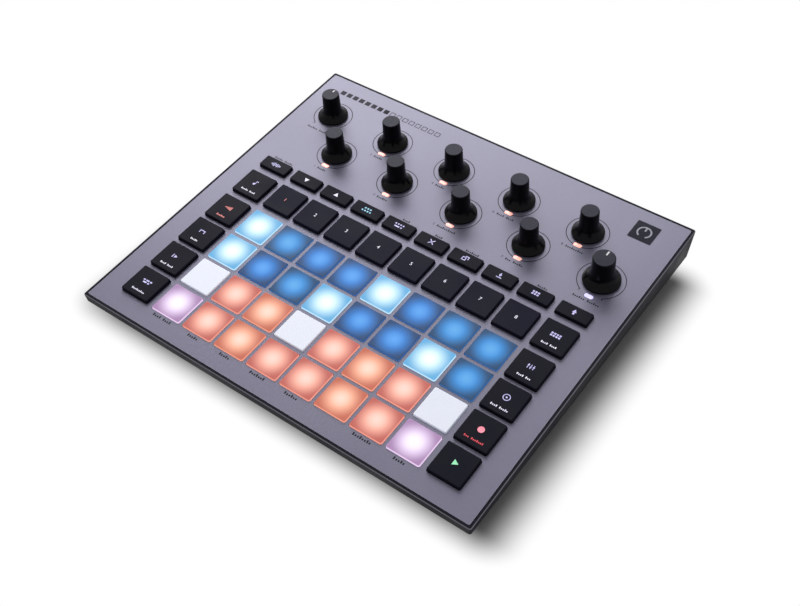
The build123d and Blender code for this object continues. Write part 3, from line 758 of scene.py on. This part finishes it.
def add_marks(name, marks, middle, height, finish, body):
    """Draw a list of marks, give them a film's thickness and lay them on a surface at a height."""
    shape = bmesh.new()
    for draw, *sizes in marks:
        draw(shape, *sizes)
    bmesh.ops.recalc_face_normals(shape, faces=shape.faces)
    bmesh.ops.solidify(shape, geom=shape.faces[:], thickness=film)
    low = min(vert.co.z for vert in shape.verts)
    lift = height + film_proud - film - low
    shift(shape, (*middle, lift))
    return add_piece(name, shape, finish, body)


print("films are", film, "mm thick")

# %% [markdown]
# ## Ink and light for the marks
# Two kinds of mark are used. Ink on the panel is a dark grey with slightly broken cover. A legend on a
# key is a clear window in the black skin with light behind it: a flat emission would look pasted on, so
# a fine noise makes the light a little uneven, as light through milky plastic is.

# %% Mix ink and legend light
ink_finish = moulded("printed_ink", "181822", "22222c", 0.5, 0.65, 0.2, 0.004, specular=0.12)
index_finish = moulded("index_white", "f2f2f4", "e8e8ea", 0.4, 0.55, 0.2, 0.006)


def back_lit(name, body, strength, depth, *surface_values):
    """Plastic with an uneven light behind it: its tone, the light's strength and a worked surface."""
    finish, tree, shader = new_finish(name)
    surface = work_surface(tree, *surface_values)
    apply_surface(tree, shader, surface, depth, 0.3)
    set_inputs(tree, shader, Base_Color=paint(body), Emission_Strength=strength)
    set_inputs(tree, shader, Emission_Color=surface.outputs["Color"])
    return finish


legend_tones = {
    "lavender": ("d6d2ff", "a9a4e0"), "white": ("f6f5ff", "dcdaf6"), "cyan": ("9fe0fa", "5fb4da"),
    "coral": ("ff8f86", "e2605c"), "red": ("f0343f", "c41f2e"), "pink": ("ff97a8", "ff7c90"),
    "mint": ("9df0bc", "7fe0a4"),
}
legend_finishes = {
    name: back_lit(f"legend_{name}", "26262e", 1.0, 0.004, *tones, 0.35, 0.5, 0.2, 700.0)
    for name, tones in legend_tones.items()
}
print("legend colours:", list(legend_finishes))

# %% [markdown]
# ## Legends on the keys
# The track keys carry plain numbers. The other keys get small pictures that say what such a key does:
# an arrow, a cross for clear, two sheets for duplicate, a sound wave for sampling. Side keys have a
# second line of strokes near their front edge, for what they do together with shift. The pictures are
# lists of marks, in millimetres from the middle of the key.

# %% Draw the pictures
key_pictures = {
    "sample_key": [(columns, 0, 0, (0.9, 2.0, 3.0, 1.5, 2.6, 1.9, 1.0))],
    "down_key": [(arrow, 0, 0.2, 1.7, 180)],
    "up_key": [(arrow, 0, -0.2, 1.7)],
    "page_key": [(dashes, 0, 0.95, (1.0, 1.0, 1.0)), (dashes, 0, -0.95, (1.0, 1.0, 1.0, 1.0))],
    "tempo_key": [(dashes, 0, 0.9, (0.9, 0.9, 0.9, 0.9)), (dashes, 0, -0.9, (3.2, 0.9))],
    "clear_key": [
        (bar, sign_x * 0.85, sign_y * 0.85, 1.9, 0.5, 45 * sign_x * sign_y)
        for sign_x in (-1, 1) for sign_y in (-1, 1)
    ],
    "duplicate_key": [
        (bar, -0.7, -1.3, 2.4, 0.45), (bar, -0.7, 0.65, 2.4, 0.45), (bar, -1.68, -0.32, 0.45, 1.5),
        (bar, 0.28, -0.32, 0.45, 1.5), (bar, 0.6, 1.5, 2.4, 0.45), (bar, 1.58, 0.5, 0.45, 1.55),
    ],
    "save_key": [(bar, 0, 1.15, 0.6, 1.1), (arrow, 0, 0.2, 1.0, 180), (bar, 0, -1.4, 3.2, 0.5)],
    "projects_key": [
        (bar, 1.5 * (step % 3 - 1), 0.75 - 1.5 * (step // 3), 1.05, 1.05) for step in range(6)
    ],
    "shift_key": [(arrow, 0, 0.55, 1.35), (bar, 0, -0.95, 1.1, 1.3)],
    "note_key": [(disc, -0.7, 0.1, 0.75), (bar, -0.1, 1.4, 0.35, 2.3), (bar, 0.6, 2.3, 0.95, 0.5)],
    "velocity_key": [(columns, 0, 0.9, (0.7, 1.2, 1.7, 2.2, 2.7))],
    "gate_key": [(bar, -1.5, 0.9, 0.5, 2.0), (bar, 0, 1.65, 2.3, 0.5), (bar, 1.5, 0.9, 0.5, 2.0)],
    "nudge_key": [(bar, -1.4, 0.9, 0.5, 2.4), (arrow, 0.3, 0.9, 1.2, -90)],
    "chance_key": [(dashes, 0, 1.6, (1.2, 2.0, 1.2)), (dashes, 0, 0.2, (2.2, 1.2))],
    "pattern_key": [
        (bar, 1.5 * (step % 4 - 1.5), 1.7 - 1.5 * (step // 4), 1.05, 1.05) for step in range(8)
    ],
    "mixer_key": [
        *[(bar, 1.5 * place, 0.9, 0.35, 2.8) for place in (-1, 0, 1)],
        (bar, -1.5, 1.5, 1.0, 0.6), (bar, 0, 0.4, 1.0, 0.6), (bar, 1.5, 1.1, 1.0, 0.6),
    ],
    "effects_key": [(disc, 0, 0.9, 0.5), (ring, 0, 0.9, 1.75, 0.4)],
    "record_key": [(disc, 0, 0.6, 1.75)],
    "play_key": [(arrow, 0, 0.6, 1.9, -90)],
}
picture_colours = {
    "down_key": "white", "up_key": "white", "page_key": "cyan", "velocity_key": "coral",
    "record_key": "pink", "play_key": "mint",
}
shift_lines = {
    "note_key": (5, 4), "velocity_key": (6,), "gate_key": (5,), "nudge_key": (4, 4), "chance_key": (9,),
    "pattern_key": (4, 4), "mixer_key": (4, 3), "effects_key": (4, 5), "record_key": (3, 7),
}
shift_line_size = 1.15
line_colours = {"velocity_key": "coral", "record_key": "red"}
print("pictures:", len(key_pictures), "second lines:", len(shift_lines))

# %% Lay the pictures on the keys
shift_line_inset = 3.4


def key_top(node):
    """A key's middle on the panel, the height of its face and half its depth, in millimetres."""
    low, high = corners(panel_points(node, above=0.0))
    return ((low.x + high.x) / 2, (low.y + high.y) / 2), high.z, (high.y - low.y) / 2


for key, marks in key_pictures.items():
    middle, height, _ = key_top(key)
    light = legend_finishes[picture_colours.get(key, "lavender")]
    add_marks(f"{key}_picture", marks, middle, height, light, key)
for key, counts in shift_lines.items():
    middle, height, half_depth = key_top(key)
    light = legend_finishes[line_colours.get(key, "white")]
    line = [(strokes, 0, shift_line_inset - half_depth, counts, shift_line_size)]
    add_marks(f"{key}_second_line", line, middle, height, light, key)
print("laid legends on", len(key_pictures), "keys")

# %% [markdown]
# ## Numbers on the track keys
# Eight plain numbers are set with Blender's own font. A text object is made a mesh at once, because a
# finished piece is a mesh with its place in its vertices.

# %% Set the numbers
number_height = 3.0


def add_number(name, digits, middle, height, size, finish, body):
    """Set a number flat on the panel or on a key, centred on a place."""
    text = bpy.data.curves.new(name, "FONT")
    text.body = digits
    text.size = size
    text.align_x = "CENTER"
    text.align_y = "CENTER"
    text.extrude = film / 2
    holder = add_object(name, text)
    bpy.context.view_layer.update()
    mesh = bpy.data.meshes.new_from_object(holder)
    bpy.data.objects.remove(holder)
    shape = bmesh.new()
    shape.from_mesh(mesh)
    shift(shape, (*middle, height + film_proud - film / 2))
    return add_piece(name, shape, finish, body)


for key in track_keys:
    middle, height, _ = key_top(key)
    digits = key[len("track_key_"):]
    light = legend_finishes["coral" if digits == "1" else "white"]
    add_number(f"{key}_number", digits, middle, height, number_height, light, key)
print("numbered", len(track_keys), "track keys")

# %% [markdown]
# ## Indicator windows
# In front of every macro knob and of the filter knob sits a small clear pill with a light under it. The
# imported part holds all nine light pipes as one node. Nine separate lenses replace it, because the
# filter's light has another colour. A circle whose halves are pulled apart makes the pill, and a bevel
# gives it a lens edge.

# %% Mix the lens light


def lens_light(name, core, edge):
    """A frosted lens: light between two tones under a thin clear coat."""
    finish = back_lit(f"lens_{name}", edge, 0.85, 0.006, core, edge, 0.15, 0.3, 0.3, 420.0)
    set_inputs(finish.node_tree, finish.node_tree.nodes["Principled BSDF"], Coat_Weight=0.4)
    return finish


peach_lens = lens_light("peach", "ffc4b4", "f4a092")
violet_lens = lens_light("violet", "e2dcff", "c2bcf4")
print("finishes:", peach_lens.name, violet_lens.name)

# %% Set the lenses
lens_steps = 32
lens_edge_share, lens_edge_steps = 0.125, 3


def lens_shape(length, width, bottom, top):
    """A pill that stands from bottom to top, with a rounded upper edge."""
    shape = bmesh.new()
    made = bmesh.ops.create_circle(shape, cap_ends=True, segments=lens_steps, radius=width / 2)["verts"]
    bmesh.ops.rotate(shape, cent=(0, 0, 0), matrix=Matrix.Rotation(pi / lens_steps, 3, "Z"), verts=made)
    for side in (-1, 1):
        half = [vert for vert in made if vert.co.x * side > 0]
        bmesh.ops.translate(shape, vec=(side * (length - width) / 2, 0, 0), verts=half)
    shift(shape, (0, 0, bottom))
    face = raise_face(shape, next(iter(shape.faces)), top - bottom)
    round_off(shape, face.edges[:], width * lens_edge_share, lens_edge_steps)
    return shape


lit_knobs = [name for name in knobs if name != "volume_knob"]
pipe_points = panel_points("light_pipes")
for name in lit_knobs:
    knob_low, knob_high = corners(panel_points(name))
    own = [point for point in pipe_points if knob_low.x < point.x < knob_high.x]
    face_low, face_high = corners([point for point in own if point.z > flange_top / 2])
    own_low = min(point.z for point in own)
    shape = lens_shape(face_high.x - face_low.x, face_high.y - face_low.y, own_low, face_high.z)
    lens_middle = (face_low + face_high) / 2
    shift(shape, (*lens_middle.xy, 0))
    light = violet_lens if name == "filter_knob" else peach_lens
    lens = add_piece(f"{name}_lens", shape, light, "chassis")
    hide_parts("light_pipes")
print("lenses:", len(lit_knobs))

# %% [markdown]
# ## Print round the knobs
# A thin ring is printed round each macro knob. The volume and filter knobs turn between two stops, so
# their rings are open at the front and end in two short ticks. Both of these knobs have a groove in
# their cap, filled with white, that shows how far they are turned.

# %% Print the rings
ring_gap = 2.55
ring_width = 0.45
stop_angle = 150.0
tick_length = 1.2
knob_middles = {}


def print_marks(name, marks, middle, finish=ink_finish, height=0.0):
    """Lay marks on the panel as print."""
    add_marks(name, marks, middle, height, finish, "chassis")


for name in knobs:
    knob_low, knob_high = corners(panel_points(name, above=0.0))
    knob_middles[name] = ((knob_low.x + knob_high.x) / 2, (knob_low.y + knob_high.y) / 2)
    radius = (knob_high.x - knob_low.x) / 2 + ring_gap
    marks = [(ring, 0, 0, radius, ring_width)]
    if not name.startswith("macro_knob_"):
        marks = [(ring, 0, 0, radius, ring_width, -stop_angle, 2 * stop_angle)]
        for angle in (-stop_angle, stop_angle):
            tick = Matrix.Rotation(radians(angle), 2) @ Vector((0, radius + tick_length / 2))
            marks.append((bar, *tick, ring_width, tick_length, angle))
    print_marks(f"{name}_ring", marks, knob_middles[name])
print("rings:", len(knob_middles))

# %% Fill the index grooves
index_width = 0.85
index_start = 2.2
index_end_gap = 0.5
index_depth = 0.4
index_round, index_round_steps = 0.05, 2
for name in ("volume_knob", "filter_knob"):
    points = panel_points(name)
    top = max(point.z for point in points)
    rim = max(point.y for point in points if point.z > top - weld_gap) - knob_middles[name][1]
    length = rim - index_end_gap - index_start
    shape = bmesh.new()
    bmesh.ops.create_cube(shape, size=1.0)
    bmesh.ops.scale(shape, vec=(index_width, length, index_depth), verts=shape.verts)
    round_off(shape, shape.edges[:], index_round, index_round_steps)
    lift = top - index_depth / 2 - film_proud
    groove_middle = knob_middles[name][1] + index_start + length / 2
    shift(shape, (knob_middles[name][0], groove_middle, lift))
    add_piece(f"{name}_index", shape, index_finish, name)
print("filled 2 index grooves")

# %% [markdown]
# ## Labels in ink
# Such a panel has print where a player looks for it: below each knob, above some of the narrow keys and
# in front of the pads. Lines of short strokes mark those places, and the macro knobs have plain
# numbers. A row of sixteen steps, the first eight filled, stands at the rear edge, and a dark square
# with a dial at the right corner.

# %% Label the knobs
knob_label_drop = 14.3
filter_label_drop = 16.0
knob_label_size = 1.4
knob_digit_size = 2.2
knob_labels = {
    "macro_knob_1": (5,), "macro_knob_2": (5,), "macro_knob_3": (6,), "macro_knob_4": (5,),
    "macro_knob_5": (10,), "macro_knob_6": (4, 4), "macro_knob_7": (3, 5), "macro_knob_8": (9,),
    "volume_knob": (6, 6), "filter_knob": (6, 6),
}


def print_label(name, counts, place, size):
    """Print a row of strokes at a place on the panel."""
    print_marks(f"{name}_label", [(strokes, 0, 0, counts, size)], place)


for name, counts in knob_labels.items():
    knob_x, knob_y = knob_middles[name]
    label_y = knob_y - (filter_label_drop if name == "filter_knob" else knob_label_drop)
    print_label(name, counts, (knob_x, label_y), knob_label_size)
    if name.startswith("macro_knob_"):
        half_label = stroke_pitch * knob_label_size * (sum(counts) + len(counts)) / 2
        place = (knob_x - half_label - knob_label_size, label_y)
        digits = name[len("macro_knob_"):]
        add_number(
            f"{name}_digit", digits, place, 0.0, knob_digit_size, ink_finish, "chassis"
        )
print("labelled", len(knob_labels), "knobs")

# %% Label the keys and the pads
key_label_gap = 2.4
key_labels = {
    "sample_key": (5, 5), "tempo_key": (4,), "clear_key": (4,), "duplicate_key": (7,),
    "projects_key": (5,),
}
for name, counts in key_labels.items():
    (key_x, key_y), _, half_depth = key_top(name)
    print_label(name, counts, (key_x, key_y + half_depth + key_label_gap), knob_label_size)

pad_label_drop = 11.85
pad_label_size = 1.6
pad_labels = {1: (4, 4), 2: (5,), 3: (5,), 4: (7,), 5: (6,), 7: (8,), 8: (5,)}
for count, counts in pad_labels.items():
    place = (columns_x[count], rows_y[-1] - pad_label_drop)
    print_label(f"pad_column_{count}", counts, place, pad_label_size)
print("labelled", len(key_labels), "keys and", len(pad_labels), "pad columns")

# %% Print the step row
step_count = 16
step_size = 3.3
step_pitch = 4.6
step_line = 0.4
step_inset_x, step_inset_y = 14.8, 10.85
steps = []
for step in range(step_count):
    step_x = step * step_pitch
    if step < step_count / 2:
        steps.append((bar, step_x, 0, step_size, step_size))
    else:
        steps.append((hollow_square, step_x, 0, step_size, step_line))
print_marks("step_row", steps, (panel_low.x + step_inset_x, panel_high.y - step_inset_y))
print("steps:", step_count)

# %% Print the corner badge
badge_size = 13.6
badge_corner = 0.7
badge_inset_x, badge_inset_y = 20.15, 14.55
dial_radius, dial_line = 3.7, 0.9
pointer_middle, pointer_length = 2.0, 2.4
badge_place = (panel_high.x - badge_inset_x, panel_high.y - badge_inset_y)
badge_finish = moulded("badge_ink", "1c1c2b", "181826", 0.5, 0.65, 0.2, 0.004, specular=0.12)
badge_mark_finish = moulded("badge_mark", "a6a6b3", "9c9caa", 0.45, 0.6, 0.2, 0.004, specular=0.3)
plate = [(soft_square, badge_size, badge_corner, 0.0)]
print_marks("badge", plate, badge_place, badge_finish)
dial = [
    (ring, 0, 0, dial_radius, dial_line, -stop_angle, 2 * stop_angle),
    (bar, 0, pointer_middle, dial_line, pointer_length),
]
print_marks("badge_dial", dial, badge_place, badge_mark_finish, film_proud)
print("badge:", badge_size, "mm")

# %% [markdown]
# ## Studio
# The groovebox lies on a sweep. One large soft light from the rear left gives the soft shadow on the near
# side and the pale sheen on the far part of the panel, and the white room fills the rest. Close to the
# object the floor is grey and takes the lamp's shadow. A few centimetres out it gives back white to the
# eye and to reflections, so that it runs into the white of the room without an edge. The white starts at
# set distances from the case, nearer in front than at the sides. So the grey band round the case is
# painted shade that sets how far the shadow reaches.

# %% Lay the floor
floor_size = 12.0
floor_level = -0.0002
floor_shape = bmesh.new()
flat_square(floor_shape, floor_size, (0, 0, floor_level))
floor_mesh = bpy.data.meshes.new("floor")
floor_shape.to_mesh(floor_mesh)
floor_shape.free()
floor = add_object("floor", floor_mesh)
print("floor side in metres:", floor_size)

# %% Let the floor run into white
# Past the case the floor is grey and turns to white over these reaches, across and along. The grey band
# left round the case is painted shade that sets how far the shadow reaches.
shade_reach_x, shade_reach_y = 0.0255, 0.020
shade_lead_x, shade_lead_y = 0.0025, 0.013
floor_finish, tree, shader = new_finish("sweep_with_painted_shade")
set_inputs(tree, shader, Base_Color=paint("a6a6a6"), Roughness=0.9, Specular_IOR_Level=0.1)


def seen_directly(tree):
    """1 for rays from the eye, off metal or through glass, and 0 for the light that falls on things."""
    path = tree.nodes.new("ShaderNodeLightPath").outputs
    either = maths(tree, "Math", "MAXIMUM", path["Is Camera Ray"], path["Is Glossy Ray"])["Value"]
    return maths(tree, "Math", "MAXIMUM", either, path["Is Transmission Ray"])["Value"]


def mix_shaders(tree, share, first, second, leave):
    """Mix two shaders by a share and lead them to the way out."""
    mix = tree.nodes.new("ShaderNodeMixShader")
    for socket, value in zip(mix.inputs, (share, first, second)):
        feed(tree, socket, value)
    set_inputs(tree, leave, Surface=mix.outputs["Shader"])


edge_scale = (1 / shade_reach_x, 1 / shade_reach_y, 0)
edge_shift = ((shade_lead_x - cad_high[0]) / shade_reach_x, (shade_lead_y - cad_high[1]) / shade_reach_y, 0)
floor_place = tree.nodes.new("ShaderNodeTexCoord").outputs["Object"]
mirrored = maths(tree, "VectorMath", "ABSOLUTE", floor_place)["Vector"]
past_edge = maths(tree, "VectorMath", "MULTIPLY_ADD", mirrored, edge_scale, edge_shift)["Vector"]
outside = maths(tree, "VectorMath", "MAXIMUM", past_edge, (0, 0, 0))["Vector"]
far = spread(tree, maths(tree, "VectorMath", "LENGTH", outside)["Value"], 0.0, 1.0)
# White away from the case; the grey floor near it is painted shade.
white_past_shade_share = maths(tree, "Math", "MULTIPLY", far, seen_directly(tree))["Value"]
white = tree.nodes.new("ShaderNodeEmission").outputs["Emission"]
mix_shaders(tree, white_past_shade_share, shader.outputs["BSDF"], white, tree.nodes["Material Output"])
floor_mesh.materials.append(floor_finish)
print("the floor turns white over", shade_reach_x, "by", shade_reach_y, "metres")

# %% Light the room
room_light = 0.32
room = bpy.data.worlds.new("white_room")
bpy.context.scene.world = room
room.use_nodes = True
tree = room.node_tree
fill = tree.nodes["Background"]
set_inputs(tree, fill, Color=paint("ffffff"), Strength=room_light)
backdrop = tree.nodes.new("ShaderNodeBackground")
set_inputs(tree, backdrop, Color=paint("ffffff"), Strength=1.0)
lights = (node.outputs["Background"] for node in (fill, backdrop))
mix_shaders(tree, seen_directly(tree), *lights, tree.nodes["World Output"])

lamp_place = Vector((-0.6, 0.75, 0.62))
lamp = bpy.data.lights.new("key_light", "AREA")
lamp.size = 0.9
lamp.energy = 13.5
key_light = add_object("key_light", lamp)
key_light.matrix_world = look_at(lamp_place, Vector((0, 0, 0)))
bpy.context.scene.view_settings.view_transform = "Standard"
print("lamps:", key_light.name, "room light:", room_light)
